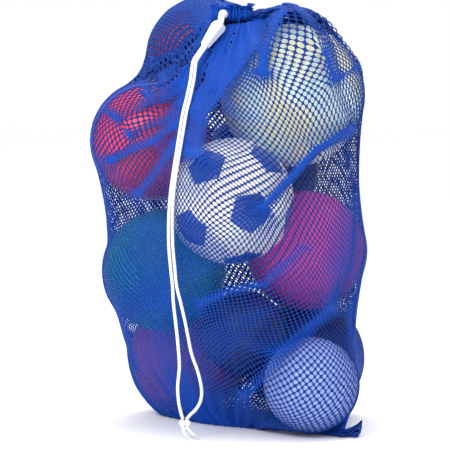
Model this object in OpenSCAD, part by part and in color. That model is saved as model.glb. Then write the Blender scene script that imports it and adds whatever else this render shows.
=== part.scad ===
// Mesh ball bag: a knitted-net drawstring bag, standing on its base and full of
// balls, closed by a round cord that runs through a spring cord lock.
// +Z is up, -Y is the side the cord hangs down, the base rests on Z = 0.

/* [Balls] */
// Diameter of the large playground ball
large_ball_d = 254; // [235:1:305]
// Diameter of the football and of the teal ball
match_ball_d = 220; // [180:1:264]
// Diameter of the common playground ball
play_ball_d = 216; // [180:1:260]
// Diameter of the volleyball
volley_ball_d = 210; // [175:1:252]
// Diameter of the small playground ball
small_ball_d = 165; // [137:1:200]
// Diameter of the smallest ball
mini_ball_d = 150; // [125:1:180]
// Wall of every ball
ball_wall = 2.6; // [2:0.1:4]
// Diameter of the rubber inflation valve
valve_d = 9; // [6:0.5:12]
// Length of the inflation valve
valve_l = 16; // [10:1:24]

/* [Net] */
// Thickness of the knitted net
net_t = 1.5; // [1:0.1:3]
// Room between the balls and the net
net_gap = 3; // [2.6:0.1:8]
// Width of the sewn seams
seam_w = 8; // [5:0.5:14]
// How far a seam stands proud of the net, outside
seam_proud = 1.2; // [0.6:0.1:3]
// How far the limp corner of the net reaches to the right of the axis
ear_x = 226; // [190:1:260]
// How far the limp corner reaches to the front
ear_y = 190; // [150:1:230]

/* [Mouth] */
// Radius of the cord channel's centre line in the drawn-up hem
hem_r = 28.5; // [26:0.5:40]
// Width of the bunched hem
hem_w = 18; // [15:0.5:24]
// Height of the bunched hem
hem_h = 18; // [17:0.5:24]
// Height of the gathered frill above the hem
frill_h = 13; // [6:1:24]
// How far the cord channel is wider than the cord, on each side
channel_gap = 0.6; // [0.3:0.1:1.5]
// Outer diameter of the eyelet in the hem
eyelet_d = 16.4; // [15.6:0.1:17]

/* [Cord] */
// Diameter of the braided cord
cord_d = 5.6; // [4.5:0.1:6.4]
// Distance between the two strands
strand_gap = 1.6; // [1.2:0.1:3]

/* [Cord lock] */
// Length of the cord lock
lock_l = 56; // [48:1:60]
// Width of its round end
lock_w = 24; // [22:0.5:30]
// Wall between the lock's spring bore and its back
lock_wall = 1.4; // [1:0.1:2.5]
// Clearance of the cord in the lock, on each side
lock_gap = 0.4; // [0.2:0.05:0.8]
// How far the push button travels
button_travel = 1.6; // [1:0.1:2]
// How far the push button stands proud
button_proud = 2.4; // [2.2:0.1:3.5]
// Clearance of the button in its bore, on each side
button_gap = 0.15; // [0.1:0.05:0.3]
// Wire of the lock's spring
spring_wire = 0.7; // [0.5:0.1:1]

/* [Hidden] */

// Each ball: name, diameter, centre, direction of its valve, colour
BALLS = [
  ["white",   large_ball_d,  [115, -36, 592],  [0.5, 0.6, 0.6],   "ivory"],
  ["soccer",  match_ball_d,  [6, -144, 409],   [0.32, 0.95, 0],   "white"],
  ["pink",    play_ball_d,   [-138, 32, 510],  [-1, 0.5, 0.3],    "hotpink"],
  ["maroon",  volley_ball_d, [-43, 147, 664],  [-0.4, 1, 0.6],    "maroon"],
  ["teal",    match_ball_d,  [-113, -10, 278], [-1, 0.5, -0.2],   "teal"],
  ["magenta", play_ball_d,   [141, -1, 313],   [1, 0.5, 0.2],     "mediumvioletred"],
  ["purple",  play_ball_d,   [-73, 125, 110],  [-1, 0.8, 0.3],    "purple"],
  ["sky",     small_ball_d,  [145, -163, 90],  [1, 0.3, 0.5],     "skyblue"],
  ["navy",    mini_ball_d,   [28, -80, 172],   [0.2, 1, 0.2],     "navy"],
  ["green",   play_ball_d,   [59, 145, 451],   [0.4, 1, 0.1],     "seagreen"],
  ["indigo",  play_ball_d,   [141, 81, 110],   [1, 0.8, 0.2],     "indigo"],
];
ball_apart = 0.8;
big = 3000;
smooth = 72;
net_fn = 24;

function unit(v) = v / norm(v);
function ball_r(i) = BALLS[i][1] / 2;

// The pile keeps its arrangement and opens out just enough for the balls to clear each other.
spread = max([for (i = [0 : len(BALLS) - 1], j = [0 : len(BALLS) - 1]) if (i < j)
  (ball_r(i) + ball_r(j) + ball_apart) / norm(BALLS[i][2] - BALLS[j][2])]);
lift = max([for (i = [0 : len(BALLS) - 1]) ball_r(i) + net_t + 0.5 - spread * BALLS[i][2][2]]);
function place(i) = spread * BALLS[i][2] + [0, 0, lift];

// Mouth: the drawn-up hem sits over the hollow between the three top balls.
mouth = spread * [8, -2, 727] + [0, 0, lift];
hem_out = hem_r + hem_w / 2;
hem_in = hem_r - hem_w / 2;
channel_r = cord_d / 2 + channel_gap;
seam_z = 60;
funnel_r = hem_out + 3;
funnel_h = 80;
funnel_spread = 70;

// The drawcord leaves the hem through the eyelet, passes straight through the lock, and
// hangs down the front. Each point of its route is the middle of the two strands, with
// the direction that lies across them. It keeps its place on the pile as that opens out.
function hang(p) = spread * p + [0, 0, lift];
exit_turn = [-0.42, -0.91, 0];
lock_at = mouth + [-20, -52, -4.9];
bend_at = lock_at + [1, 9, 9];
lock_run = unit([-0.53, -0.3, -0.8]);
lock_face = unit(cross(lock_run, [0.72, -0.66, -0.23]));
lock_across = cross(lock_face, lock_run);
straight_l = 84;
ROUTE_DOWN = [
  [[-59, -84, 645],   [0.80, -0.57, -0.1]],
  [[-62, -97, 620],   [0.87, -0.48, 0.1]],
  [[-68, -118, 590],  [0.87, -0.48, 0.1]],
  [[-75, -139, 560],  [0.87, -0.48, 0.1]],
  [[-82, -171, 515],  [0.85, -0.52, 0.1]],
  [[-89, -200, 470],  [0.75, -0.66, 0]],
  [[-94, -208, 435],  [0.75, -0.66, 0]],
  [[-97, -210, 400],  [0.80, -0.60, 0]],
  [[-98, -210, 365],  [0.90, -0.43, 0]],
  [[-97, -209, 330],  [1, -0.2, 0]],
  [[-94, -208, 295],  [1, 0, 0]],
  [[-91, -207, 265],  [1, 0, 0]],
];
LEFT_END = [
  [-93, -206, 235], [-89, -205, 200], [-85, -204, 160], [-83, -203, 125],
  [-86, -202, 90], [-84, -201, 62], [-80, -200, 44], [-77, -200, 34],
];
RIGHT_END = [
  [-81, -206, 238], [-74, -205, 208], [-68, -204, 178], [-62, -203, 148], [-51, -202, 116],
  [-45, -201, 88], [-46, -201, 68], [-54, -200, 52], [-64, -200, 42], [-71, -200, 34],
];
knot_at = hang([-74, -200, 25]);
knot_d = 15;
TAIL_LEFT = [[-77, -201, 18], [-75, -206, 11], [-70, -213, 5], [-66, -222, 3.6]];
TAIL_RIGHT = [[-70, -201, 18], [-64, -205, 12], [-57, -209, 6], [-48, -213, 3.6]];

strand = (cord_d + strand_gap) / 2;
cord_sides = 10;
eyelet_z = mouth[2] + hem_h / 2;
exit_dir = unit(exit_turn);
function in_eyelet(r) = [mouth[0], mouth[1], eyelet_z] + r * exit_dir;
exit_across = unit([-exit_dir[1], exit_dir[0], 0]);
ROUTE = concat(
  [for (r = [hem_r, hem_out, hem_out + 3]) [in_eyelet(r), exit_across]],
  [[bend_at, unit(exit_across + lock_across)]],
  [for (s = [0, 20, 40, 60, straight_l]) [lock_at + s * lock_run, lock_across]],
  [for (w = ROUTE_DOWN) [hang(w[0]), w[1]]]);

function strand_points(side, end) =
  concat([for (p = ROUTE) p[0] + side * strand * unit(p[1])], [for (p = end) hang(p)]);

// A round tube with one ring at each point, square to the way the route turns there.
function along(p, i) = unit(p[min(i + 1, len(p) - 1)] - p[max(i - 1, 0)]);
function ring(at, way, r, sides) =
  let (u = unit(cross(way, [0.31, 0.95, 0.02])), v = cross(way, u))
  [for (k = [0 : sides - 1]) at + r * (cos(360 * k / sides) * u + sin(360 * k / sides) * v)];
module tube(p, r, sides) {
  rings = len(p);
  points = [for (i = [0 : rings - 1]) each ring(p[i], along(p, i), r, sides)];
  skin = [for (i = [0 : rings - 2], k = [0 : sides - 1])
    let (a = i * sides + k, b = i * sides + (k + 1) % sides)
    each [[a, b + sides, b], [a, a + sides, b + sides]]];
  ends = [
    [for (k = [0 : sides - 1]) k],
    [for (k = [sides - 1 : -1 : 0]) (rings - 1) * sides + k],
  ];
  polyhedron(points, concat(skin, ends), convexity = 6);
}

module about_z_to(v) {
  rotate([0, acos(unit(v)[2]), atan2(v[1], v[0])]) children();
}

// The shape of the filled net, grown outwards and cut off flat at a height. The drawn mouth
// sits in the bottom of a funnel.
module filled(grow, low) {
  inside = net_gap + net_t - grow;
  difference() {
    filled_hull(grow, low);
    translate(mouth - [0, 0, inside])
      cylinder(r1 = funnel_r + inside, r2 = funnel_r + funnel_spread + inside, h = funnel_h,
        $fn = smooth);
  }
}

module filled_hull(grow, low) {
  intersection() {
    hull() {
      for (i = [0 : len(BALLS) - 1])
        translate(place(i)) sphere(ball_r(i) + grow, $fn = net_fn);
      translate([ear_x, -ear_y, 0]) cylinder(r = 2 + grow, h = 2 + grow, $fn = net_fn);
      translate([mouth[0], mouth[1], mouth[2] - 3])
        cylinder(r = hem_out - net_gap + grow, h = 3 + grow - net_gap - net_t, $fn = net_fn);
    }
    translate([-big, -big, low]) cube(2 * big);
  }
}

module net_wall(proud) {
  difference() {
    filled(net_gap + net_t + proud, 0);
    filled(net_gap, net_t);
    translate([mouth[0], mouth[1], mouth[2] - 100]) cylinder(r = hem_in, h = 200, $fn = smooth);
  }
}

module behind(y) { translate([-big, y, -big]) cube([2 * big, big, 2 * big]); }
module above(z) { translate([-big, -big, z]) cube([2 * big, 2 * big, big]); }
module right_of(x) { translate([x, -big, -big]) cube([big, 2 * big, 2 * big]); }

seam_front = mouth[1] - seam_w / 2;
seam_back = mouth[1] + seam_w / 2;

module front_panel() {
  color("royalblue") difference() {
    net_wall(0);
    behind(seam_front);
  }
}

module back_panel() {
  color("royalblue") intersection() {
    net_wall(0);
    behind(seam_back);
  }
}

// The sewn strip between the two panels, all the way round.
module seam_strip() {
  difference() {
    intersection() {
      net_wall(seam_proud);
      behind(seam_front);
    }
    behind(seam_back);
    translate(mouth) cylinder(r = hem_out + 2, h = 2 * funnel_h, $fn = smooth);
  }
}

module left_side_seam() {
  color("mediumblue") difference() {
    intersection() {
      seam_strip();
      above(seam_z);
    }
    right_of(mouth[0]);
  }
}

module right_side_seam() {
  color("mediumblue") intersection() {
    seam_strip();
    above(seam_z);
    right_of(mouth[0]);
  }
}

module bottom_seam() {
  color("mediumblue") difference() {
    seam_strip();
    above(seam_z);
  }
}

module at_exit() {
  translate([mouth[0], mouth[1], eyelet_z]) rotate(atan2(exit_dir[1], exit_dir[0])) children();
}

// The folded top of the net, bunched round the cord that runs inside it.
module hem_channel() {
  color("blue") difference() {
    translate(mouth) rotate_extrude($fn = smooth) difference() {
      translate([hem_in, 0]) square([hem_w, hem_h]);
      translate([hem_r, hem_h / 2]) circle(channel_r, $fn = smooth);
    }
    at_exit() translate([hem_r, 0, 0]) rotate([0, 90, 0])
      cylinder(d = eyelet_d, h = hem_w, $fn = smooth);
  }
}

// Loose gathers of net that stand above the cord.
module mouth_frill() {
  color("royalblue") translate(mouth + [0, 0, hem_h]) difference() {
    linear_extrude(frill_h) polygon([for (a = [0 : 5 : 355])
      (hem_out - 3 + 2.4 * cos(12 * a)) * [cos(a), sin(a)]]);
    translate([0, 0, -1]) linear_extrude(frill_h + 2) polygon([for (a = [0 : 5 : 355])
      (hem_in + 3 + 2.4 * cos(12 * a)) * [cos(a), sin(a)]]);
  }
}

// Moulded ring in the front of the hem, wide enough for both strands.
module cord_eyelet() {
  color("white") at_exit() rotate([0, 90, 0]) difference() {
    union() {
      translate([0, 0, hem_r + channel_r])
        cylinder(d = eyelet_d, h = hem_w / 2 - channel_r, $fn = smooth);
      translate([0, 0, hem_out]) cylinder(d = eyelet_d, h = 2, $fn = smooth);
    }
    for (s = [-1, 1])
      translate([0, s * strand, 0]) cylinder(d = cord_d + 0.4, h = 2 * hem_out, $fn = smooth);
  }
}

// The part of the cord that stays in the hem.
module drawcord_loop() {
  color("white") translate([mouth[0], mouth[1], eyelet_z]) rotate_extrude($fn = smooth)
    translate([hem_r, 0]) circle(d = cord_d, $fn = smooth);
}

module cord_left_strand() {
  color("white") tube(strand_points(-1, LEFT_END), cord_d / 2, cord_sides);
}

module cord_right_strand() {
  color("white") tube(strand_points(1, RIGHT_END), cord_d / 2, cord_sides);
}

module cord_knot() {
  color("white") {
    hull() {
      translate(knot_at + [0, 0, 3]) sphere(d = knot_d - 1, $fn = net_fn);
      translate(knot_at - [0, 0, 3]) sphere(d = knot_d - 3, $fn = net_fn);
    }
    tube(concat([knot_at], [for (p = TAIL_LEFT) hang(p)]), cord_d / 2, cord_sides);
    tube(concat([knot_at], [for (p = TAIL_RIGHT) hang(p)]), cord_d / 2, cord_sides);
  }
}

// The lock's own frame: +Z runs down the cord, +X lies across the strands, +Y is its face.
module in_lock() {
  multmatrix([
    [lock_across[0], lock_face[0], lock_run[0], lock_at[0]],
    [lock_across[1], lock_face[1], lock_run[1], lock_at[1]],
    [lock_across[2], lock_face[2], lock_run[2], lock_at[2]],
    [0, 0, 0, 1],
  ]) children();
}

passage_w = 2 * strand + cord_d + 2 * lock_gap;
passage_t = cord_d + 2 * lock_gap;
nose_w = passage_w + 2.4;
nose_t = passage_t + 2.4;
plunger_d = passage_w + 3;
slot_t = passage_t + button_travel;
web_t = 1.3;
spring_l = button_travel + 2 * spring_wire + 0.4;
button_z = lock_w / 2;
slot_low = -passage_t / 2;
plunger_low = slot_low - web_t;
bore_low = plunger_low - spring_l;
lock_low = bore_low - lock_wall;
lock_high = slot_low + slot_t + web_t + 0.4;
button_high = lock_high + button_proud;

// A disc whose axis is the button's, from one height over the cord to another.
module face_disc(d, low, high, z) {
  translate([0, high, z]) rotate([90, 0, 0]) cylinder(d = d, h = high - low, $fn = smooth);
}

module lock_body() {
  color("whitesmoke") in_lock() difference() {
    hull() {
      face_disc(lock_w, lock_low + 1, lock_high - 1.5, lock_w / 2);
      face_disc(lock_w - 3, lock_low, lock_high, lock_w / 2);
      face_disc(nose_w, -nose_t / 2, nose_t / 2, lock_l - nose_w / 2);
    }
    for (s = [-1, 1])
      translate([s * strand, 0, -1]) cylinder(d = passage_t, h = lock_l + 2, $fn = smooth);
    face_disc(plunger_d + 2 * button_gap, bore_low, lock_high + 1, button_z);
  }
}

module lock_button() {
  color("white") in_lock() difference() {
    face_disc(plunger_d, plunger_low, button_high, button_z);
    hull() for (s = [-1, 1])
      translate([s * strand, slot_low + passage_t / 2, button_z - plunger_d])
        cylinder(d = passage_t, h = 2 * plunger_d, $fn = 32);
    hull() for (s = [-1, 1])
      translate([s * strand, slot_low + slot_t - passage_t / 2, button_z - plunger_d])
        cylinder(d = passage_t, h = 2 * plunger_d, $fn = 32);
  }
}

// Three open coils, held together by short bridges of the same wire.
module lock_spring() {
  coil_r = plunger_d / 2 - 2.5;
  pitch = (spring_l - spring_wire) / 2;
  color("silver") in_lock() translate([0, plunger_low, button_z]) rotate([90, 0, 0]) {
    for (k = [0 : 2])
      translate([0, 0, spring_wire / 2 + k * pitch]) rotate_extrude($fn = smooth)
        translate([coil_r, 0]) circle(d = spring_wire, $fn = 24);
    for (k = [0 : 1])
      rotate(180 * k) translate([coil_r, 0, spring_wire / 2 + k * pitch])
        cylinder(d = spring_wire * 0.8, h = pitch, $fn = 24);
  }
}

function valve_dir(i) = BALLS[i][3];

// The valve's own profile: a shank through the wall that narrows inside the ball.
module valve_shape(i) {
  r = ball_r(i);
  rotate_extrude($fn = smooth) polygon([
    [0, r - valve_l], [valve_d / 2 - 1, r - valve_l],
    [valve_d / 2, r - ball_wall - 3], [valve_d / 2, r - 0.5], [0, r - 0.5],
  ]);
}

module ball(i) {
  r = ball_r(i);
  color(BALLS[i][4]) translate(place(i)) about_z_to(valve_dir(i)) difference() {
    sphere(r, $fn = smooth);
    sphere(r - ball_wall, $fn = smooth);
    cylinder(d = valve_d, h = r + 1, $fn = smooth);
  }
}

module valve(i) {
  color("dimgray") translate(place(i)) about_z_to(valve_dir(i)) valve_shape(i);
}

front_panel();
back_panel();
left_side_seam();
right_side_seam();
bottom_seam();
hem_channel();
mouth_frill();
cord_eyelet();
drawcord_loop();
cord_left_strand();
cord_right_strand();
cord_knot();
lock_body();
lock_button();
lock_spring();
for (i = [0 : len(BALLS) - 1]) {
  ball(i);
  valve(i);
}
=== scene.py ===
import math

import bpy
import numpy as np
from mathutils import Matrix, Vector
from mathutils.bvhtree import BVHTree


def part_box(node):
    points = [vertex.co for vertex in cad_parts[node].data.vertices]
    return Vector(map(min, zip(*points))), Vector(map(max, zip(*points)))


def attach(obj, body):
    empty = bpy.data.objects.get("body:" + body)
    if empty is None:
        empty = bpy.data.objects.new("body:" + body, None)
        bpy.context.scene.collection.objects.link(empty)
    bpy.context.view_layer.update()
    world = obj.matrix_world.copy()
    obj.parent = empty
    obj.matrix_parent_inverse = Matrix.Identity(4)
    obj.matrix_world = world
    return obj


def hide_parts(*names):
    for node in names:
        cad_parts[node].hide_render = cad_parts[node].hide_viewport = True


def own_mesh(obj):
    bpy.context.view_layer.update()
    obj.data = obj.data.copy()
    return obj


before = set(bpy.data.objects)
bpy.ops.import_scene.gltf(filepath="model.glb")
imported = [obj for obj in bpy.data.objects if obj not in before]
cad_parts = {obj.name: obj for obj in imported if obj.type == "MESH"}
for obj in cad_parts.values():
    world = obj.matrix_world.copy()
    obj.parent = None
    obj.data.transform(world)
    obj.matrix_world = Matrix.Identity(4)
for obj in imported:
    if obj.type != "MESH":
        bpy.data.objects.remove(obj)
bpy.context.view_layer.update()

# ---------------------------------------------------------------- camera and light
# A long lens from 4.5 m, almost level, and a bright white studio round the bag. The camera
# stands VIEW_FAR from a point VIEW_AIM above the floor and looks down by VIEW_DROP.
VIEW_FAR = 4.5
VIEW_DROP = math.radians(3)
VIEW_AIM = 0.375
VIEW_SHIFT = (-0.00556, -0.02)
scene = bpy.context.scene
scene.view_settings.view_transform = "Standard"
cam = bpy.data.objects.new("camera", bpy.data.cameras.new("camera"))
scene.collection.objects.link(cam)
cam.location = (0, -VIEW_FAR * math.cos(VIEW_DROP), VIEW_AIM + VIEW_FAR * math.sin(VIEW_DROP))
cam.rotation_euler = (math.pi / 2 - VIEW_DROP, 0, 0)
cam.data.lens = 200
cam.data.sensor_width = 36
cam.data.shift_x, cam.data.shift_y = VIEW_SHIFT
cam.data.clip_end = 60
scene.camera = cam


def colour(code):
    """An sRGB hex colour as the linear colour that the shaders take."""
    parts = [int(code[k : k + 2], 16) / 255 for k in (1, 3, 5)]
    return [c / 12.92 if c < 0.04045 else ((c + 0.055) / 1.055) ** 2.4 for c in parts] + [1.0]


def add(tree, kind, inputs=None, **settings):
    """Adds one shader node: a number or colour is set on its input, a socket is linked to it."""
    made = tree.nodes.new(kind)
    for key, value in settings.items():
        setattr(made, key, value)
    for key, value in (inputs or {}).items():
        if isinstance(value, bpy.types.NodeSocket):
            tree.links.new(value, made.inputs[key])
        else:
            made.inputs[key].default_value = value
    return made


WANDERS_PER_METRE = 14.0


def material(name, base, rough, bump=None, sheen=0.0, coat=0.0, metal=0.0, mottle=0.06,
             other=None, by=None, glint=0.5):
    """A procedural finish. bump is (kind, size in metres, height in metres); mottle is how far the
    colour wanders over some 70 mm, or other is the colour that it wanders to. by names the
    attribute that the colour follows instead, or "bump" for the bump's own pattern."""
    mat = bpy.data.materials.new(name)
    mat.use_nodes = True
    tree = mat.node_tree
    shader = tree.nodes["Principled BSDF"]
    place = add(tree, "ShaderNodeTexCoord").outputs["Object"]
    wander = add(tree, "ShaderNodeTexNoise",
                 {"Vector": place, "Scale": WANDERS_PER_METRE, "Detail": 3.0})
    first = [c * (1 - 3 * mottle) for c in colour(base)[:3]] + [1.0]
    second = [min(1.0, c * (1 + mottle)) for c in colour(base)[:3]] + [1.0]
    share = wander.outputs["Fac"]
    if other:
        first, second = colour(base), colour(other)
        share = add(tree, "ShaderNodeMapRange", {"Value": share, "From Min": 0.4, "From Max": 0.6})
        share = share.outputs["Result"]
    if bump:
        kind, size, height = bump
        if kind == "cells":
            grain = add(tree, "ShaderNodeTexVoronoi", {"Vector": place, "Scale": 1 / size})
            level = grain.outputs["Distance"]
        else:
            grain = add(tree, "ShaderNodeTexNoise", {"Vector": place, "Scale": 1 / size})
            level = grain.outputs["Fac"]
        bumped = add(tree, "ShaderNodeBump", {"Height": level, "Distance": height, "Strength": 1.0})
        tree.links.new(bumped.outputs["Normal"], shader.inputs["Normal"])
    if by == "bump":
        share = level
    elif by:
        share = add(tree, "ShaderNodeAttribute", attribute_name=by).outputs["Fac"]
    factor, one, two, result = 0, 6, 7, 2
    mixed = add(tree, "ShaderNodeMix", {factor: share, one: first, two: second}, data_type="RGBA")
    tree.links.new(mixed.outputs[result], shader.inputs["Base Color"])
    shader.inputs["Roughness"].default_value = rough
    shader.inputs["Sheen Weight"].default_value = sheen
    shader.inputs["Coat Weight"].default_value = coat
    shader.inputs["Metallic"].default_value = metal
    shader.inputs["Specular IOR Level"].default_value = glint
    return mat


def mesh_object(name, points, faces, mats, which=None):
    """A mesh in the shared frame, in metres. which gives each face its material's place in mats."""
    mesh = bpy.data.meshes.new(name)
    corners = faces.tolist() if isinstance(faces, np.ndarray) else faces
    mesh.from_pydata(np.asarray(points).tolist(), [], corners)
    for mat in mats:
        mesh.materials.append(mat)
    if which is not None:
        mesh.polygons.foreach_set("material_index", np.asarray(which, np.int32))
    mesh.polygons.foreach_set("use_smooth", np.full(len(mesh.polygons), True))
    mesh.update()
    made = bpy.data.objects.new(name, mesh)
    scene.collection.objects.link(made)
    return made


def area_light(name, at, to, size, power, tint):
    """A square soft light of a size in metres and a power in watts, aimed at a point."""
    light = bpy.data.objects.new(name, bpy.data.lights.new(name, "AREA"))
    light.data.size = size
    light.data.energy = power
    light.data.color = colour(tint)[:3]
    light.location = at
    light.rotation_euler = (Vector(to) - Vector(at)).to_track_quat("-Z", "Y").to_euler()
    scene.collection.objects.link(light)


world = bpy.data.worlds.new("white studio")
world.use_nodes = True
world.node_tree.nodes["Background"].inputs["Color"].default_value = (1, 1, 1, 1)
world.node_tree.nodes["Background"].inputs["Strength"].default_value = 1.0
scene.world = world
area_light("key", (-1.6, -3.0, 2.6), (0, 0, 0.4), 1.6, 70, "#FFFFFF")
area_light("overhead", (0.3, 0.4, 3.2), (0, 0, 0.3), 2.5, 60, "#FFFFFF")

# Matte white paint shows only the bag's soft shadow.
FLOOR = 30
floor_paint = material("white studio floor, matte", "#FFFFFF", 0.9, mottle=0.0)
floor_corners = [(-FLOOR, -FLOOR, 0), (FLOOR, -FLOOR, 0), (FLOOR, FLOOR, 0), (-FLOOR, FLOOR, 0)]
floor = mesh_object("floor", floor_corners, [(0, 1, 2, 3)], [floor_paint])

# ---------------------------------------------------------------- drawcord
# A round white braided polyester cord: a loop inside the hem whose two strands leave by
# the eyelet, pass through the lock, hang down the front and end in one knot. Eight yarns
# cross in the braid, which repeats every PLAIT_PITCH.
CORD_D = 0.0056
STRAND_STEP = 0.0036
POINT_STEP = 0.0015
CORD_UNDER = 0.0001
PLAIT_H = 0.00022
YARNS_EACH_WAY = 4
PLAIT_PITCH = 0.012
OFF_FLOOR = 0.0006
MOUTH = Vector((0.008, -0.002, 0.7269))
HEM_H = 0.018
EYELET_ENDS = (0.0375, 0.0405)
STRAIGHT = (0, 0.006, 0.02, 0.04, 0.06, 0.084)
# Braided polyester is matte, and its crossing yarns give the white small soft shadows.
braid = material("polyester braid, matte white", "#F4F4F2", 0.75, ("noise", 0.0012, 0.0003), 0.3)


def unit(v):
    """The vector, or each of a list of vectors, at length 1."""
    v = np.asarray(v, float)
    return v / np.linalg.norm(v, axis=-1, keepdims=True)


# The cord's route: points down its middle, each with the direction that parts its two strands.
# It leaves the eyelet, runs straight where the lock slides, and then follows the net.
EXIT_DIR = unit([-0.42, -0.91, 0])
EXIT_ACROSS = np.array([-EXIT_DIR[1], EXIT_DIR[0], 0])
LOCK_AT = np.array([-0.012, -0.054, 0.722])
LOCK_RUN = unit([-0.53, -0.3, -0.8])
LOCK_FACE = unit(np.cross(LOCK_RUN, [0.72, -0.66, -0.23]))
LOCK_ACROSS = np.cross(LOCK_FACE, LOCK_RUN)
HEM_MIDDLE = np.array(MOUTH) + [0, 0, HEM_H / 2]
ROUTE = [(HEM_MIDDLE + r * EXIT_DIR, EXIT_ACROSS) for r in EYELET_ENDS]
ROUTE += [((-0.011, -0.045, 0.731), unit(EXIT_ACROSS + LOCK_ACROSS))]
ROUTE += [(LOCK_AT + s * LOCK_RUN, LOCK_ACROSS) for s in STRAIGHT]
ROUTE += [(np.array(p) / 1000, unit(w)) for p, w in [
    ((-59, -84, 645), (0.80, -0.57, -0.1)), ((-62, -97, 620), (0.87, -0.48, 0.1)),
    ((-68, -118, 590), (0.87, -0.48, 0.1)), ((-75, -139, 560), (0.87, -0.48, 0.1)),
    ((-82, -171, 515), (0.85, -0.52, 0.1)), ((-89, -200, 470), (0.75, -0.66, 0)),
    ((-94, -208, 435), (0.75, -0.66, 0)), ((-97, -210, 400), (0.80, -0.60, 0)),
    ((-98, -210, 365), (0.90, -0.43, 0)), ((-97, -209, 330), (1, -0.2, 0)),
    ((-94, -208, 295), (1, 0, 0)), ((-91, -207, 265), (1, 0, 0))]]
LEFT_END = [(-93, -206, 235), (-89, -205, 200), (-85, -204, 160), (-83, -203, 125),
            (-86, -202, 90), (-84, -201, 62), (-80, -200, 44), (-77, -200, 34)]
RIGHT_END = [(-81, -206, 238), (-74, -205, 208), (-68, -204, 178), (-62, -203, 148),
             (-51, -202, 116), (-45, -201, 88), (-46, -201, 68), (-54, -200, 52),
             (-64, -200, 42), (-71, -200, 34)]


def smooth_path(points, step, per_span=24):
    """A smooth line through the points, with a point every step along it, and its length."""
    p = np.asarray(points, float)
    p = np.vstack([2 * p[0] - p[1], p, 2 * p[-1] - p[-2]])
    t = np.linspace(0, 1, per_span, endpoint=False)[:, None]
    line = [0.5 * (2 * b + (c - a) * t + (2 * a - 5 * b + 4 * c - d) * t**2
                   + (3 * b - a - 3 * c + d) * t**3)
            for a, b, c, d in zip(p[:-3], p[1:-2], p[2:-1], p[3:])]
    line = np.vstack(line + [p[-2:-1]])
    gone = np.concatenate([[0], np.cumsum(np.linalg.norm(np.diff(line, axis=0), axis=1))])
    at = np.linspace(0, gone[-1], max(2, int(round(gone[-1] / step)) + 1))
    return np.stack([np.interp(at, gone, line[:, k]) for k in range(3)], 1), gone[-1]


def tube(name, path, radius, mats, sides=24, plait=0.0):
    """A round tube along the path, with closed ends. plait raises crossing yarns on it, in metres."""
    path = np.asarray(path, float)
    way = unit(np.gradient(path, axis=0))
    aside = [0.31, 0.2, 0.9]
    side = unit(np.cross(way[0], aside))
    rings = []
    gone = np.concatenate([[0], np.cumsum(np.linalg.norm(np.diff(path, axis=0), axis=1))])
    a = np.linspace(0, 2 * math.pi, sides, endpoint=False)
    for k in range(len(path)):
        side = unit(side - way[k] * np.dot(side, way[k]))
        other = np.cross(way[k], side)
        turn = 2 * math.pi * gone[k] / PLAIT_PITCH
        lump = plait * np.cos(YARNS_EACH_WAY * a + turn) * np.cos(YARNS_EACH_WAY * a - turn)
        rings.append(path[k] + (radius + lump)[:, None] * (
            np.cos(a)[:, None] * side + np.sin(a)[:, None] * other))
    points = np.vstack(rings)
    faces = [(k * sides + s, k * sides + (s + 1) % sides, (k + 1) * sides + (s + 1) % sides,
              (k + 1) * sides + s) for k in range(len(path) - 1) for s in range(sides)]
    faces += [tuple(range(sides))[::-1], tuple(range(len(points) - sides, len(points)))]
    return mesh_object(name, points, faces, mats)


def cord_strand(name, side, end):
    """One strand, left (-1) or right (1) of the route, down to its own end points."""
    points = [np.array(p) + side * STRAND_STEP * w for p, w in ROUTE]
    points += [np.array(p) / 1000 for p in end]
    path, length = smooth_path(points, POINT_STEP)
    made = tube(name + "_braid", path, CORD_D / 2 - CORD_UNDER, [braid], plait=PLAIT_H)
    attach(made, "bag")
    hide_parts(name)
    return made, path, length


left_strand, left_path, left_length = cord_strand("cord_left_strand", -1, LEFT_END)
right_strand, right_path, right_length = cord_strand("cord_right_strand", 1, RIGHT_END)

# The knot ties both strands together in an overhand knot, and the two tails fray out.
KNOT_AT = np.array([-0.074, -0.200, 0.025])
KNOT_SIZE = 0.0026
KNOT_CORD_R = 0.0029
KNOT_PLAIT_H = 0.0002
KNOT_OPEN = 0.25
turn = np.linspace(KNOT_OPEN, 2 * math.pi - KNOT_OPEN, 90)
loop = np.stack([np.sin(turn) + 2 * np.sin(2 * turn), -np.sin(3 * turn) * 0.9,
                 np.cos(turn) - 2 * np.cos(2 * turn)], 1) * KNOT_SIZE
knot = tube("cord_knot_turns", KNOT_AT + loop, KNOT_CORD_R, [braid], sides=16, plait=KNOT_PLAIT_H)
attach(knot, "bag")
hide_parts("cord_knot")
TAIL_R = 0.0024
TAILS = {"left": [(-77, -201, 20), (-75, -206, 12), (-70, -213, 6), (-66, -222, 3)],
         "right": [(-70, -201, 20), (-64, -205, 13), (-57, -209, 7), (-48, -213, 3)]}
FRAYS = 9
FRAY_R = 0.0004
FRAY_SPREAD = [0.0022, 0.0022, 0.0006]
FRAY_BEND = 0.0007
TAIL_STEP = 0.002
rng = np.random.default_rng(4)
tails = []
for which, tail in TAILS.items():
    path, _ = smooth_path(np.array(tail) / 1000, TAIL_STEP)
    whole = len(path) * 2 // 3
    tails.append(tube(f"cord_{which}_tail", path[: whole + 1], TAIL_R, [braid], sides=12))
    for n in range(FRAYS):
        out = rng.normal(0, 1, 3) * FRAY_SPREAD
        share = np.linspace(0, 1, len(path) - whole)[:, None]
        hair = path[whole:] + share * out + (1 - share) * rng.normal(0, FRAY_BEND, 3)
        hair[:, 2] = np.maximum(hair[:, 2], OFF_FLOOR)
        tails.append(tube(f"cord_{which}_fray_{n}", hair, FRAY_R, [braid], sides=5))
for piece in tails:
    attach(piece, "bag")

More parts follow.
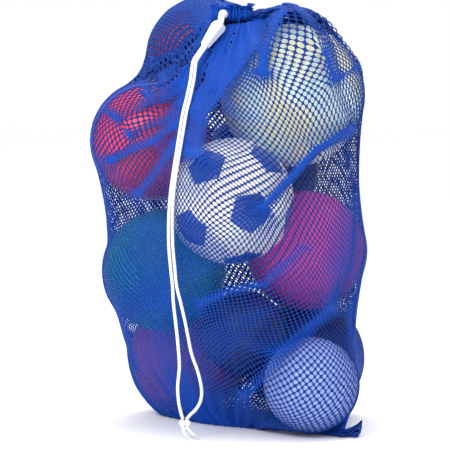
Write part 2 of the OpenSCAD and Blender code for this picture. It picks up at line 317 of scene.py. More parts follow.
# ---------------------------------------------------------------- cord lock
# A spring lock moulded in white polypropylene: a pear-shaped body with two bores, a push
# button that nips the cord across them, and a steel spring that pushes the button out. It is
# threaded on both strands and stays where its grip holds it.

# Moulded polypropylene has a waxy, satin white with broad soft highlights.
white_plastic = material("polypropylene, satin white", "#F6F6F4", 0.35, ("noise", 0.002, 0.0001))
# The button is polished a little more by thumbs, and looks a shade greyer than the body.
button_plastic = material("polypropylene button, satin white", "#EFEFEC", 0.3,
                          ("noise", 0.002, 0.0001))
# Drawn spring wire is bare grey metal with a clear shine.
spring_steel = material("spring steel, brushed", "#B8B8B8", 0.3, metal=1.0)
# The eyelet is the same moulded plastic, slightly duller in the shade of the hem.
eyelet_plastic = material("eyelet plastic, satin white", "#EDEDEA", 0.4)
# The loop in the hem is the cord's own braid, matte, with its colour painted a little darker than the
# cord outside as painted shade inside the hem.
loop_cord = material("polyester loop in the hem, matte white", "#F0F0EE", 0.8,
                     ("noise", 0.0012, 0.0003))
for node, mat in (("lock_body", white_plastic), ("lock_button", button_plastic),
                  ("cord_eyelet", eyelet_plastic), ("drawcord_loop", loop_cord)):
    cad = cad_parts[node]
    cad.data.materials.clear()
    cad.data.materials.append(mat)

# The spring is two turns of steel wire under the button, which flattens it when pressed. Its
# places are measured along the button's axis, outwards from the lock's middle.
SPRING_R = 0.0058
SPRING_WIRE = 0.0007
SPRING_TURNS = 2
SPRING_TOP = -0.0045
SPRING_L = 0.0034
BUTTON_ALONG = 0.012
share = np.linspace(0, 1, 97)[:, None]
turn = 2 * math.pi * SPRING_TURNS * share
coil_at = LOCK_AT + BUTTON_ALONG * LOCK_RUN
coil = coil_at + LOCK_FACE * (SPRING_TOP - SPRING_WIRE / 2 - share * (SPRING_L - SPRING_WIRE))
coil = coil + SPRING_R * (np.cos(turn) * LOCK_ACROSS + np.sin(turn) * LOCK_RUN)
spring = tube("lock_spring_coil", coil, SPRING_WIRE / 2, [spring_steel], sides=8)
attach(spring, "cord_lock")
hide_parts("lock_spring")
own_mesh(spring)

# ---------------------------------------------------------------- balls
# Moulded rubber playground balls with a pebbled skin and a raised mould line round the
# middle, a stitched football and a volleyball. Each has its valve sunk in its surface, on
# the axis that it turns about.
BALLS = {}
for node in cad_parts:
    if node.endswith("_ball"):
        low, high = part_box(node)
        BALLS[node[:-5]] = ((low + high) / 2, max(high - low) / 2)
VALVE_DIR = {
    "white": (0.5, 0.6, 0.6), "soccer": (0.32, 0.95, 0), "pink": (-1, 0.5, 0.3),
    "maroon": (-0.4, 1, 0.6), "teal": (-1, 0.5, -0.2), "magenta": (1, 0.5, 0.2),
    "purple": (-1, 0.8, 0.3), "sky": (1, 0.3, 0.5), "navy": (0.2, 1, 0.2),
    "green": (0.4, 1, 0.1), "indigo": (1, 0.8, 0.2)}
# The navy, green and indigo balls lie deep inside the bag. Their near-black blues are partly their
# own colour and partly painted shade for the dark inside the bag.
SKIN = {
    "white": "#FAF8C8", "pink": "#E0305E", "maroon": "#8E1638", "teal": "#06A0A0",
    "magenta": "#F050C0", "purple": "#E060A8", "sky": "#9DB4FF", "navy": "#141C5A",
    "green": "#101C50", "indigo": "#18145A"}


def turn_to(direction):
    """The rotation that takes +Z to the direction."""
    return np.array(Vector(direction).to_track_quat("Z", "Y").to_matrix())


# Butyl rubber looks dull and almost black.
valve_rubber = material("butyl valve rubber, matte black", "#2A2A2C", 0.7)


def finish_ball(name, points, faces, mats, which=None):
    """Puts a ball's skin in its place, round its valve."""
    centre, _ = BALLS[name]
    made = mesh_object(name + "_ball_skin", points + np.array(centre), faces, mats, which)
    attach(made, name + "_ball_body")
    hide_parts(name + "_ball")
    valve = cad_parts[name + "_valve"]
    valve.data.materials.clear()
    valve.data.materials.append(valve_rubber)


VALVE_HOLE_R = 0.0046
VALVE_HOLE_DEEP = 0.004
MOULD_LINE_H = 0.0006
MOULD_LINE = ((-0.018, 0), (-0.012, MOULD_LINE_H), (0.012, MOULD_LINE_H), (0.018, 0))
MOULD_LINE_ROOM = 0.03
HALF_ROWS = 34
BALL_SIDES = 96
PEBBLE = 0.0035
PEBBLE_H = 0.0006


def playground_ball(name):
    """A turned sphere with the valve's hole at its pole and a mould line at its middle."""
    _, r = BALLS[name]
    middle = math.pi / 2
    top = np.linspace(math.asin(VALVE_HOLE_R / r), middle - MOULD_LINE_ROOM, HALF_ROWS)
    foot = np.linspace(middle + MOULD_LINE_ROOM, math.pi, HALF_ROWS)
    bands = [(p, 0) for p in top] + [(middle + p, h) for p, h in MOULD_LINE] + [(p, 0) for p in foot]
    rows = [(VALVE_HOLE_R, math.sqrt(r * r - VALVE_HOLE_R**2) - VALVE_HOLE_DEEP)]
    rows += [((r + h) * math.sin(p), (r + h) * math.cos(p)) for p, h in bands]
    a = np.linspace(0, 2 * math.pi, BALL_SIDES, endpoint=False)
    points = np.vstack([np.stack([q * np.cos(a), q * np.sin(a), np.full(BALL_SIDES, z)], 1)
                        for q, z in rows])
    ring = [(s, (s + 1) % BALL_SIDES) for s in range(BALL_SIDES)]
    faces = [(k * BALL_SIDES + after, k * BALL_SIDES + s, (k + 1) * BALL_SIDES + s,
              (k + 1) * BALL_SIDES + after) for k in range(len(rows) - 1) for s, after in ring]
    # Moulded rubber has a pebbled grain, drawn coarser than its real 2 mm so that it shows, and
    # a soft broad shine. The white ball is marbled with pale blue.
    skin = material(name + " playground rubber, satin", SKIN[name], 0.42,
                    ("cells", PEBBLE, PEBBLE_H), coat=0.1,
                    other="#DDF6F8" if name == "white" else None)
    finish_ball(name, points @ turn_to(VALVE_DIR[name]).T, faces, [skin])


for name in SKIN:
    if name != "maroon":
        playground_ball(name)


# A panel's rings lie at these shares of the way in, and this far under the ball's surface.
RING_SHARES = (0, 0.018, 0.05, 0.1, 0.25, 0.45, 0.7)
RING_SUNK = (0.0016, 0.0009, 0.0002, 0, 0, 0, 0)


def panel(corners, r, per_side=8):
    """One stitched panel of a ball: rings of points that shrink from its outline to its middle,
    pressed in along the outline."""
    corners = np.asarray(corners, float)
    middle = corners.mean(0)
    outline = np.vstack([corners[k] + (np.roll(corners, -1, 0)[k] - corners[k]) * t
                         for k in range(len(corners))
                         for t in np.linspace(0, 1, per_side, endpoint=False)[:, None]])
    points = np.vstack([(r - d) * unit(middle + (outline - middle) * (1 - s))
                        for s, d in zip(RING_SHARES, RING_SUNK)] + [r * unit(middle)[None]])
    n = len(outline)
    last = len(RING_SHARES) - 1
    faces = [(k * n + s, k * n + (s + 1) % n, (k + 1) * n + (s + 1) % n, (k + 1) * n + s)
             for k in range(last) for s in range(n)]
    faces += [(last * n + s, last * n + (s + 1) % n, (last + 1) * n) for s in range(n)]
    return points, faces


def joined(parts):
    """Panels put together as one mesh's points and faces, and the material of each face."""
    points, faces, which, start = [], [], [], 0
    for p, f, w in parts:
        points.append(p)
        faces += [tuple(v + start for v in face) for face in f]
        which += [w] * len(f)
        start += len(p)
    return np.vstack(points), faces, which


# The football's twelve blue panels sit at the corners of an icosahedron, and its twenty white
# ones on the faces. It is turned so that four blue panels face forward as FRONT_BLUE says, which
# is found by trying every four neighbouring corners.
GOLDEN = (1 + math.sqrt(5)) / 2
NEIGHBOUR = 0.4
ASIDE = [0.3, 0.2, 0.9]
FRONT_BLUE = unit([(-0.41, -0.67, 0.62), (-0.656, -0.6, -0.46), (0.33, -0.93, -0.16),
                   (0.61, -0.37, 0.705)])
corner = unit([(0, a, b * GOLDEN) for a in (1, -1) for b in (1, -1)]
              + [(a, b * GOLDEN, 0) for a in (1, -1) for b in (1, -1)]
              + [(b * GOLDEN, 0, a) for a in (1, -1) for b in (1, -1)])
near = [[j for j in range(12) if j != i and corner[i] @ corner[j] > NEIGHBOUR] for i in range(12)]
fours = [[i, j, k, m] for i in range(12) for j in near[i] for k in near[i] if k in near[j]
         for m in near[k] if m in near[i] and m != j]


def fit(four):
    """How far four corners miss FRONT_BLUE when turned nearest to it, and that turn."""
    u, _, vt = np.linalg.svd(FRONT_BLUE.T @ corner[four])
    turned = u @ np.diag([1, 1, np.linalg.det(u @ vt)]) @ vt
    return np.abs(corner[four] @ turned.T - FRONT_BLUE).sum(), turned


_, turned = min((fit(four) for four in fours), key=lambda found: found[0])
corner = corner @ turned.T
soccer_r = BALLS["soccer"][1]
parts = []
for i in range(12):
    ends = [corner[i] * 2 / 3 + corner[j] / 3 for j in near[i]]
    u = unit(np.cross(corner[i], ASIDE))
    v = np.cross(corner[i], u)
    ends.sort(key=lambda p: math.atan2(p @ v, p @ u))
    parts.append((*panel(ends, soccer_r), 1))
for three in [[i, j, k] for i in range(12) for j in near[i] for k in near[i]
              if i < j < k and k in near[j]]:
    if np.linalg.det(corner[three]) < 0:
        three = [three[0], three[2], three[1]]
    a, b, c = corner[three]
    six = [(2 * p + q) / 3 for p, q in ((a, b), (b, a), (b, c), (c, b), (c, a), (a, c))]
    parts.append((*panel(six, soccer_r), 0))
# Polyurethane-coated leather is smooth, and its clear coat gives small bright highlights.
white_leather = material("synthetic leather panels, glossy white", "#F7F8F8", 0.3,
                         ("noise", 0.001, 0.0001), coat=0.3, mottle=0.02)
blue_leather = material("synthetic leather panels, glossy blue", "#2450B8", 0.3,
                        ("noise", 0.001, 0.0001), coat=0.3)
points, faces, which = joined(parts)
finish_ball("soccer", points, faces, [white_leather, blue_leather], which)

# The volleyball has six faces of three long panels, each face turned a quarter from the next.
volley_r = BALLS["maroon"][1]
END_POINTS = 3
SIDE_POINTS = 7
BETWEEN_POINTS = 3
parts = []
for axis, sign, n in [(axis, sign, n) for axis in range(3) for sign in (1, -1) for n in range(3)]:
    low, high = -1 + 2 * n / 3, -1 + 2 * (n + 1) / 3
    flat = [(low, -1), (high, -1), (high, 1), (low, 1)]
    edge = []
    for p, q in zip(flat, flat[1:] + flat[:1]):
        for t in np.linspace(0, 1, END_POINTS if p[0] != q[0] else SIDE_POINTS, endpoint=False):
            v = [0, 0, 0]
            v[axis] = sign
            v[(axis + 1) % 3] = math.tan((p[0] + (q[0] - p[0]) * t) * math.pi / 4)
            v[(axis + 2) % 3] = math.tan((p[1] + (q[1] - p[1]) * t) * math.pi / 4)
            edge.append(unit(v))
    parts.append((*panel(edge[::sign], volley_r, BETWEEN_POINTS), 0))
# Volleyball leather is softer and less glossy than a football's.
volley_leather = material("volleyball leather, satin maroon", SKIN["maroon"], 0.4,
                          ("noise", 0.0012, 0.0002), coat=0.1)
points, faces, _ = joined(parts)
finish_ball("maroon", points @ turn_to(VALVE_DIR["maroon"]).T, faces, [volley_leather])

# ---------------------------------------------------------------- net
# Two knitted polyester panels, 762 by 1016 mm laid flat, sewn together down both sides and
# along the bottom. The cloth is let down over the balls, then threads are made along it.
# Its corner at the EAR lies spread on the floor, and the other is TUCKED under the balls. The
# side seams turn by SEAM_TURN between the top and the foot, and the cloth's middle stays LIE
# off each ball.
FLAT_W = 0.762
FLAT_L = 1.016
ACROSS = 84
UP = 112
AROUND = 2 * ACROSS
EAR = np.array([0.224, -0.188, 0.004])
TUCKED = np.array([-0.100, 0.080, 0.003])
LIE = 0.0022
SEAM_TURN = math.radians(-39)
centres = np.array([c for c, _ in BALLS.values()])
radii = np.array([r for _, r in BALLS.values()])


def clear_of_balls(p, gap):
    """Moves every point that is nearer to a ball than gap out to that distance."""
    for c, r in zip(centres, radii):
        away = p - c
        far = np.linalg.norm(away, axis=-1, keepdims=True)
        p = np.where(far < r + gap, c + away * ((r + gap) / np.maximum(far, 1e-6)), p)
    return p


LOCK_ROOM_WIDE = 0.0140
LOCK_ROOM_DEEP = 0.0105
LEAST_FAR = 0.05


def clear_of_lock(p):
    """Moves the net out of the cord lock's way, along the stretch that it slides on."""
    away = p - LOCK_AT
    along = np.clip(away @ LOCK_RUN, 0, STRAIGHT[-1])
    away = away - along[..., None] * LOCK_RUN
    x, y, z = away @ LOCK_ACROSS, away @ LOCK_FACE, away @ LOCK_RUN
    far = np.sqrt((x / LOCK_ROOM_WIDE) ** 2 + (y / LOCK_ROOM_DEEP) ** 2 + (z / LOCK_ROOM_DEEP) ** 2)
    out = np.maximum(1 / np.maximum(far, LEAST_FAR), 1) - 1
    return p + away * out[..., None]


def taut_shell():
    """The outside of the net's CAD solids, as one surface to cast rays at."""
    points, faces = [], []
    for node in ("front_panel", "back_panel", "left_side_seam", "right_side_seam", "bottom_seam"):
        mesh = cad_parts[node].data
        start = len(points)
        points += [v.co for v in mesh.vertices]
        faces += [[v + start for v in f.vertices] for f in mesh.polygons]
    return BVHTree.FromPolygons(points, faces)


# Rays from all round are cast at a point CORE_UP above the floor. A hit beyond the throat, on
# the underside or on the far side of that point is left out.
CORE_UP = 0.40
RAYS = np.radians(np.linspace(-86, 84, 110))
RAY_FROM = 2.0
PAST_CORE = 0.2
NEAREST_HIT = 0.02
TURN_BELOW = 0.35
TURN_OVER = 0.7
THROAT_R = 0.042
GATHER_R = 0.034
UNDERSIDE = 0.003
SHELL_HALF = 0.0012


def start_shape():
    """The net pulled taut over the balls, as [row up][column round]. Each column starts at the
    bottom seam, comes out along the floor, climbs the side and ends at the drawn mouth."""
    shell = taut_shell()
    core = Vector((MOUTH.x, MOUTH.y, CORE_UP))
    columns = []
    for i in range(AROUND):
        round_at = math.pi + 2 * math.pi * i / AROUND
        share = i / ACROSS if i < ACROSS else (AROUND - i) / ACROSS
        line = [TUCKED + share * (EAR - TUCKED)]
        for rise in RAYS:
            low = np.clip((-rise - TURN_BELOW) / TURN_OVER, 0, 1)
            a = round_at + SEAM_TURN * low * low * (3 - 2 * low)
            way = Vector((math.cos(a) * math.cos(rise), math.sin(a) * math.cos(rise),
                          math.sin(rise)))
            hit, _, _, _ = shell.ray_cast(core + way * RAY_FROM, -way, RAY_FROM + PAST_CORE)
            if hit is None or (hit - core).dot(way) < NEAREST_HIT:
                continue
            near = math.hypot((hit - core).x, (hit - core).y)
            if (rise > 0 and near < THROAT_R) or (rise < 0 and hit.z < UNDERSIDE):
                continue
            line.append(np.array(hit) - SHELL_HALF * np.array(way))
        outwards = np.array([math.cos(round_at), math.sin(round_at), 0])
        line.append(np.array(MOUTH) + GATHER_R * outwards)
        line = np.array(line)
        gone = np.concatenate([[0], np.cumsum(np.linalg.norm(np.diff(line, axis=0), axis=1))])
        at = np.linspace(0, gone[-1], UP + 1)
        columns.append(np.stack([np.interp(at, gone, line[:, k]) for k in range(3)], 1))
    return np.stack(columns, 1)


def pulled(a, b, rest):
    """How far a moves towards b, for threads that pull when longer than rest."""
    d = b - a
    far = np.linalg.norm(d, axis=-1)
    return d * (0.5 * np.maximum(0, far - rest) / np.maximum(far, 1e-6))[..., None]


# Each step keeps most of its motion, falls a little and draws a little inwards. Its threads
# are then pulled back to length SWEEPS times, and evened out.
KEEP_MOVING = 0.8
FALL = 0.00010
INWARD = 0.0003
EVEN = 0.02
SWEEPS = 5
EAR_PATCH = np.s_[:5, ACROSS - 4:ACROSS + 5]
REST_UP = 0.0016
FULL_STEPS = 40


def relax(p, steps):
    """Lets the net down: it sags between the balls, which hold it out, as far as its threads
    allow. Its mouth, its tucked corner and the ear that lies on the floor stay put."""
    rest_u = np.linalg.norm(np.roll(p, -1, 1) - p, axis=-1)
    rest_u = np.minimum((rest_u + np.roll(rest_u, 3, 1) + np.roll(rest_u, -3, 1)) / 3,
                        FLAT_W / ACROSS)
    rest_v = np.linalg.norm(np.diff(p, axis=0), axis=-1)
    before, top, ear = p.copy(), p[-1].copy(), p[EAR_PATCH].copy()
    middle = np.array([MOUTH.x, MOUTH.y, 0.0])
    for _ in range(steps):
        moved = p + KEEP_MOVING * (p - before)
        before = p
        p = moved + (middle - moved) * [1, 1, 0] * INWARD - [0, 0, FALL]
        for _ in range(SWEEPS):
            for odd in (0, 1):
                a, b = p[:, odd::2], np.roll(p, -1, 1)[:, odd::2]
                d = pulled(a, b, rest_u[:, odd::2])
                p[:, odd::2] += d
                p[:, (np.arange(odd, AROUND, 2) + 1) % AROUND] -= d
                a, b = p[odd:-1:2], p[odd + 1::2]
                d = pulled(a, b, rest_v[odd::2])
                p[odd:-1:2] += d
                p[odd + 1::2] -= d
            around = (np.roll(p, 1, 1) + np.roll(p, -1, 1)) / 2
            p[1:-1] += EVEN * ((around[1:-1] + (p[2:] + p[:-2]) / 2) / 2 - p[1:-1])
            opposite = p[0, (AROUND - np.arange(AROUND)) % AROUND]
            p[0] = (p[0] + opposite) / 2
            p[0, 0] = TUCKED
            p[EAR_PATCH] = ear
            p[-1] = top
            p = clear_of_balls(p, LIE)
            p[..., 2] = np.maximum(p[..., 2], REST_UP)
    return p


def normals_of(p):
    """The net's outward normals at its grid points."""
    du = np.roll(p, -1, 1) - np.roll(p, 1, 1)
    dv = np.gradient(p, axis=0)
    return unit(np.cross(du, dv) + 1e-12)


net_grid = relax(start_shape(), FULL_STEPS)

# Folds that the drawn cord pulls into the net. Each is a line seen from the front, across and
# up in millimetres, with how much net on each side of it is drawn in, to what width, and how
# far it stands out.
FOLDS = [
    ([(49, 745), (-4, 656), (-50, 566), (-66, 500)], 46, 24, 6),
    ([(78, 736), (68, 690), (62, 640)], 26, 10, 6),
    ([(128, 745), (165, 690), (190, 625)], 30, 10, 6),
    ([(110, 765), (190, 735), (242, 655)], 30, 16, 4),
    ([(222, 532), (160, 492), (112, 440), (66, 392)], 34, 8, 11),
    ([(-20, 735), (-80, 690), (-135, 655)], 20, 8, 5),
    ([(-45, 690), (-100, 640), (-150, 610)], 22, 9, 6),
    ([(-60, 650), (-130, 600), (-205, 560)], 22, 9, 6),
    ([(-72, 606), (-120, 566), (-180, 532)], 18, 7, 5),
    ([(-75, 570), (-140, 515), (-205, 480)], 22, 8, 5),
    ([(-85, 520), (-120, 470), (-160, 420)], 18, 8, 4),
    ([(-48, 218), (2, 240), (68, 254), (116, 300), (136, 318)], 14, 8, 4),
    ([(32, 54), (100, 130), (188, 204)], 22, 11, 4),
]


FACES_FRONT = -0.15
FOLD_REACH = 3


def seen_from_front(p):
    """Where points lie when seen from the camera's place: across and up, in metres."""
    level, drop = math.cos(VIEW_DROP), math.sin(VIEW_DROP)
    high = p[..., 2] - VIEW_AIM
    away = VIEW_FAR + p[..., 1] * level - high * drop
    up = p[..., 1] * drop + high * level
    return np.stack([p[..., 0] * VIEW_FAR / away, up * VIEW_FAR / away + VIEW_AIM], -1)


def fold(p, line, drawn, to, proud):
    """Draws the net in towards a line, and lifts it along the line. Only the part of the net
    that faces the front moves, and further off it makes room for what was drawn in."""
    line = np.array(line) / 1000
    drawn, to, proud = drawn / 1000, to / 1000, proud / 1000
    flat = seen_from_front(p)
    gap = np.full(flat.shape[:-1], 1e9)
    towards = np.zeros(flat.shape)
    for a, b in zip(line[:-1], line[1:]):
        t = np.clip(((flat - a) @ (b - a)) / ((b - a) @ (b - a)), 0, 1)
        away = flat - (a + t[..., None] * (b - a))
        d = np.linalg.norm(away, axis=-1)
        towards = np.where((d < gap)[..., None], away, towards)
        gap = np.minimum(gap, d)
    reach = FOLD_REACH * drawn
    new = np.where(gap < drawn, gap * to / drawn,
                   to + (gap - drawn) * (reach - to) / (reach - drawn))
    front = (normals_of(p)[..., 1] < FACES_FRONT) & (gap < reach)
    pull = np.where(front, new / np.maximum(gap, 1e-9) - 1, 0)[..., None] * towards
    lift = np.where(front, proud * np.clip(1 - (new / to) ** 2, 0, 1), 0)
    out = p.copy()
    out[..., 0] += pull[..., 0]
    out[..., 2] += pull[..., 1]
    out[..., 1] -= lift
    return out


def soft_normals(p):
    """The net's normals, evened out over some 60 mm of cloth."""
    n = normals_of(p)
    for _ in range(8):
        n[1:-1] = (n[1:-1] + n[2:] + n[:-2]) / 3
        n = (n + np.roll(n, 1, 1) + np.roll(n, -1, 1)) / 3
    return unit(n)


PLEAT_H = 0.011
PLEATS = (26, 15)
PLEAT_FADE = np.array([0.8, 0.5, 0.2])


def gathers(p):
    """The spare width near the mouth stands up in pleats that run down from the cord."""
    width = np.linalg.norm(np.roll(p, -1, 1) - np.roll(p, 1, 1), axis=-1) / (2 * FLAT_W / ACROSS)
    spare = np.clip(1 - width, 0, 1)
    i = np.arange(AROUND)[None, :] * 2 * math.pi / AROUND
    j = np.arange(UP + 1)[:, None] / UP
    wave = (0.5 + 0.3 * np.sin(PLEATS[0] * i + 1.5 * np.sin(3 * i + 2 * j))
            + 0.2 * np.sin(PLEATS[1] * i + 3 * j + 1.0))
    height = PLEAT_H * spare ** 0.8 * wave
    height[-len(PLEAT_FADE):] *= PLEAT_FADE[:, None]
    return p + soft_normals(p) * height[..., None]


# The roll stands from ROLL_FROM beside the mouth over a width of ROLL_W, on the side that faces
# ROLL_SIDE, and only above ROLL_UP.
ROLL_H = 0.034
ROLL_FROM = 0.030
ROLL_W = 0.170
ROLL_SIDE = 0.25
ROLL_UP = 0.62
ROLL_RAMP = 0.06
ROLL_LEAN = 0.35
ROLL_WAVES = 14
ROLL_WAVE = 0.14


def crown(p):
    """Spare net beside the mouth, which stands up in a soft roll over the top ball."""
    flat = p[..., :2] - np.array(MOUTH)[:2]
    far = np.linalg.norm(flat, axis=-1)
    a = np.arctan2(flat[..., 1], flat[..., 0])
    side = np.clip(np.cos(a - ROLL_SIDE), 0, 1) ** 1.5
    high = np.clip((p[..., 2] - ROLL_UP) / ROLL_RAMP, 0, 1)
    swell = np.sin(np.clip((far - ROLL_FROM) / ROLL_W, 0, 1) * math.pi) ** 0.8
    wave = 1 - ROLL_WAVE + ROLL_WAVE * np.sin(ROLL_WAVES * a + 0.7)
    rise = ROLL_H * side * high * swell * wave
    return p + rise[..., None] * (ROLL_LEAN * soft_normals(p) + [0, 0, 1 - ROLL_LEAN])


NET_OFF_BALL = 0.0016
NET_OFF_FLOOR = 0.0012
net_grid = crown(gathers(net_grid))
for line, drawn, to, proud in FOLDS:
    net_grid = fold(net_grid, line, drawn, to, proud)
net_grid = clear_of_lock(net_grid)
net_grid = clear_of_balls(net_grid, NET_OFF_BALL)
net_grid[..., 2] = np.maximum(net_grid[..., 2], NET_OFF_FLOOR)
net_normals = normals_of(net_grid)


def on_net(u, v, lift=0.0):
    """The point of the net at u round (0 to 2 widths) and v up, in metres of flat cloth."""
    i = np.clip(u, 0, 2 * FLAT_W) / FLAT_W * ACROSS
    j = np.clip(v / FLAT_L * UP, 0, UP - 1e-6)
    i0, j0 = np.floor(i).astype(int), np.floor(j).astype(int)
    fi, fj = (i - i0)[..., None], (j - j0)[..., None]

    def at(grid):
        """The grid's value at these points, from the four corners round each."""
        return ((grid[j0, i0 % AROUND] * (1 - fi) + grid[j0, (i0 + 1) % AROUND] * fi) * (1 - fj)
                + (grid[j0 + 1, i0 % AROUND] * (1 - fi)
                   + grid[j0 + 1, (i0 + 1) % AROUND] * fi) * fj)

    return at(net_grid) + at(net_normals) * np.asarray(lift)[..., None]


# The meshes are diamonds, 10 mm from corner to corner, with round holes. A cell is shut where
# its cloth has drawn in to SHUT_LOW of its flat area, and sooner further up the bag, by the
# steps (how much, from which height, over how much height).
CELL = 0.010
HOLE_R = 0.0032
OUTER = np.array([(2, 0), (1, 1), (0, 2), (-1, 1), (-2, 0), (-1, -1), (0, -2), (1, -1)]) * CELL / 4
CORNERS = len(OUTER)
eighths = np.arange(CORNERS) * 2 * math.pi / CORNERS
INNER = np.stack([np.cos(eighths), np.sin(eighths)], 1)
THREAD_OUT = 0.0008
THREAD_IN = -0.0003
SHUT_LOW = 0.22
SHUT_STEPS = ((0.13, 0.20, 0.10), (0.3, 0.56, 0.12), (0.35, 0.705, 0.02))
OPEN_OVER = 0.8
NEAR_FLOOR = 0.14
NEAR_FLOOR_RAMP = 0.03
NEAR_FLOOR_SHUT = 1.6
PROBE = 0.003
BUNCH_FROM = 1.25
LEAST_HOLE = 0.02


def net_panel(name, start, node, open_share):
    """Open diamond meshes, one for each cell: threads between its outline and a round hole,
    which closes where the cloth is bunched. open_share is how far the holes open."""
    rows = int(round(FLAT_L / (CELL / 2)))
    cells = np.array([(start + (c + 0.5 + 0.5 * (r % 2)) * CELL, (r + 0.5) * CELL / 2)
                      for r in range(rows) for c in range(int(FLAT_W / CELL) + 1)
                      if (c + 0.5 + 0.5 * (r % 2)) * CELL < FLAT_W])
    u, v = cells.T
    east = on_net(u + PROBE, v) - on_net(u - PROBE, v)
    north = on_net(u, v + PROBE) - on_net(u, v - PROBE)
    area = np.linalg.norm(np.cross(east, north), axis=1) / (4 * PROBE * PROBE)
    height = on_net(u, v)[:, 2]
    shut = SHUT_LOW + sum(more * np.clip((height - since) / over, 0, 1)
                          for more, since, over in SHUT_STEPS)
    hole = open_share * np.clip((area - shut) / OPEN_OVER, 0.0, 1.0) ** 0.5
    by_floor = np.clip((NEAR_FLOOR - height) / NEAR_FLOOR_RAMP, 0, 1)
    hole *= 1 - (1 - open_share) * NEAR_FLOOR_SHUT * by_floor
    bounds = [start, 0], [start + FLAT_W, FLAT_L]
    edge = np.clip(cells[:, None, :] + OUTER[None], *bounds)
    inner = cells[:, None, :] + INNER[None] * (HOLE_R * np.maximum(hole, LEAST_HOLE))[:, None, None]
    inner = np.clip(inner, *bounds)
    top = on_net(edge[..., 0], edge[..., 1], np.full(edge.shape[:2], THREAD_OUT))
    low = on_net(inner[..., 0], inner[..., 1], np.full(edge.shape[:2], THREAD_IN))
    points = np.concatenate([top, low], 1).reshape(-1, 3)
    points[:, 2] = np.maximum(points[:, 2], OFF_FLOOR)
    k = np.arange(CORNERS)
    one = np.stack([k, (k + 1) % CORNERS, CORNERS + (k + 1) % CORNERS, CORNERS + k], 1)
    faces = (one[None] + 2 * CORNERS * np.arange(len(cells))[:, None, None]).reshape(-1, 4)
    made = mesh_object(name, points, faces, [net_yarn])
    # How bunched each cell is. The net's colour follows this to paint light where the net is bunched.
    bunched = np.repeat(np.clip(BUNCH_FROM - area, 0, 1), 2 * CORNERS).astype(np.float32)
    made.data.attributes.new("bunched", "FLOAT", "POINT").data.foreach_set("value", bunched)
    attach(made, "bag")
    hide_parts(node)


# Knitted polyester filament is a deep blue with little shine. Its colour is painted brighter where
# the net is bunched: painted light for the light that passes through several layers. Its yarn shows
# as a fine grain.
net_yarn = material("knitted polyester net, royal blue", "#0A3484", 0.55,
                    ("noise", 0.0009, 0.0003), other="#0A47AC", by="bunched", glint=0.15)
net_panel("front_net", 0.0, "front_panel", 1.0)
net_panel("back_net", FLAT_W, "back_panel", 0.70)

# ---------------------------------------------------------------- seams
# The two panels are overlocked together with polyester thread, which makes a narrow raised
# strip up both sides and a thin one along the bottom.

# The overlock's dense stitches look matte and a little lighter than the open net.
seam_cloth = material("overlocked seam, matte blue", "#0D3FA8", 0.7, ("noise", 0.0012, 0.0005))
SEAM_HALF = 0.004
SEAM_POINTS = 340
SEAM_ROWS = ((-1, -0.0005), (-0.8, 0.0014), (0, 0.0021), (0.8, 0.0014), (1, -0.0005))


def finish_soft(made, node):
    """A soft blue piece is part of the bag and takes the place of one CAD solid."""
    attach(made, "bag")
    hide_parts(node)


def side_seam(name, at_u, way, node):
    """A raised strip up the net, at_u round, its rows taken forwards (1) or backwards (-1)."""
    up = np.linspace(0, FLAT_L, SEAM_POINTS)
    rows = [on_net(np.full(SEAM_POINTS, (at_u + way * s * SEAM_HALF) % (2 * FLAT_W)), up,
                   np.full(SEAM_POINTS, h)) for s, h in SEAM_ROWS]
    points = np.vstack(rows)
    points[:, 2] = np.maximum(points[:, 2], OFF_FLOOR)
    faces = [(k * SEAM_POINTS + s, k * SEAM_POINTS + s + 1, (k + 1) * SEAM_POINTS + s + 1,
              (k + 1) * SEAM_POINTS + s)
             for k in range(len(SEAM_ROWS) - 1) for s in range(SEAM_POINTS - 1)]
    finish_soft(mesh_object(name, points, faces, [seam_cloth]), node)


side_seam("right_seam_tape", FLAT_W, 1, "right_side_seam")
side_seam("left_seam_tape", 0.0, -1, "left_side_seam")
BOTTOM_POINTS = 260
BOTTOM_R = 0.0014
BOTTOM_LIFT = 0.0004
across = np.linspace(0, FLAT_W, BOTTOM_POINTS)
bottom = tube("bottom_seam_tape", on_net(across, np.zeros(BOTTOM_POINTS)) + [0, 0, BOTTOM_LIFT],
              BOTTOM_R, [seam_cloth], sides=8)
finish_soft(bottom, "bottom_seam")
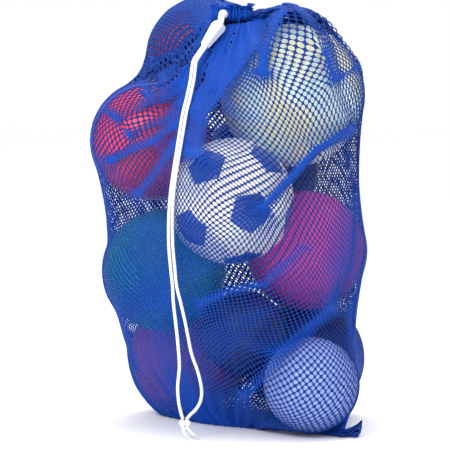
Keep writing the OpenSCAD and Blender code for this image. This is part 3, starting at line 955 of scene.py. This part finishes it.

# ---------------------------------------------------------------- hem and frill
# The top edge is folded over the cord and stitched; drawn up, it bunches into a ring of
# tight pleats with a short ruffle standing above it.

# Bunched net of the hem. Its colour follows its bumps: painted shade, almost black, in the hollows
# between its small folds, and painted light on their tops.
hem_cloth = material("bunched net of the hem, royal blue", "#072458", 0.6,
                     ("cells", 0.0036, 0.0012), other="#0E5CD8", by="bump", glint=0.15)
HEM_R = 0.0285
HEM_W = 0.018
HEM_UNDER = 0.001
SIDES = 360
HEM_ROWS = 22
FRILL_ROWS = 9
FRILL_H = 0.011
FRILL_FLARE = 0.008
FRILL_SUNK = 0.004
FRILL_WAVES = 17
FRILL_CREASES = 41
HEM_PLEATS = 36
HEM_FOLDS = 21
a = np.linspace(0, 2 * math.pi, SIDES, endpoint=False)
pleat = 0.0024 * np.sin(HEM_PLEATS * a + 1.2 * np.sin(5 * a))
pleat += 0.0012 * np.sin(HEM_FOLDS * a + 1.0)
crease = 0.0014 * np.sin(FRILL_CREASES * a)
lumps = 0.002 * np.sin(4 * a + 0.5) + 0.0015 * np.sin(9 * a)


def round_mouth(name, radii_heights, steps, node):
    """A surface round the mouth, from rings given by their radii and heights."""
    rings = [np.stack([MOUTH.x + r * np.cos(a), MOUTH.y + r * np.sin(a), MOUTH.z + z], 1)
             for r, z in radii_heights]
    n = len(rings)
    faces = [(k * SIDES + s, k * SIDES + (s + 1) % SIDES, (k + 1) % n * SIDES + (s + 1) % SIDES,
              (k + 1) % n * SIDES + s) for k in range(steps) for s in range(SIDES)]
    finish_soft(mesh_object(name, np.vstack(rings), faces, [hem_cloth]), node)


hem = [(HEM_R + (HEM_W / 2 - HEM_UNDER) * math.cos(t) + pleat * (0.6 + 0.4 * math.cos(t)),
        HEM_H / 2 + (HEM_H / 2 + pleat + lumps) * math.sin(t))
       for t in np.linspace(0, 2 * math.pi, HEM_ROWS, endpoint=False)]
round_mouth("hem_pleats", hem, HEM_ROWS, "hem_channel")
frill = [(HEM_R - HEM_UNDER + FRILL_FLARE * math.sin(1.6 * t)
          + (0.0025 + 0.004 * t) * np.sin(FRILL_WAVES * a + 0.8 * np.sin(5 * a)) + crease,
          HEM_H - FRILL_SUNK + lumps + FRILL_H * math.sin(1.7 * t) * (1 + 0.2 * np.sin(7 * a)))
         for t in np.linspace(0, 1, FRILL_ROWS)]
round_mouth("frill_ruffle", frill, FRILL_ROWS - 1, "mouth_frill")
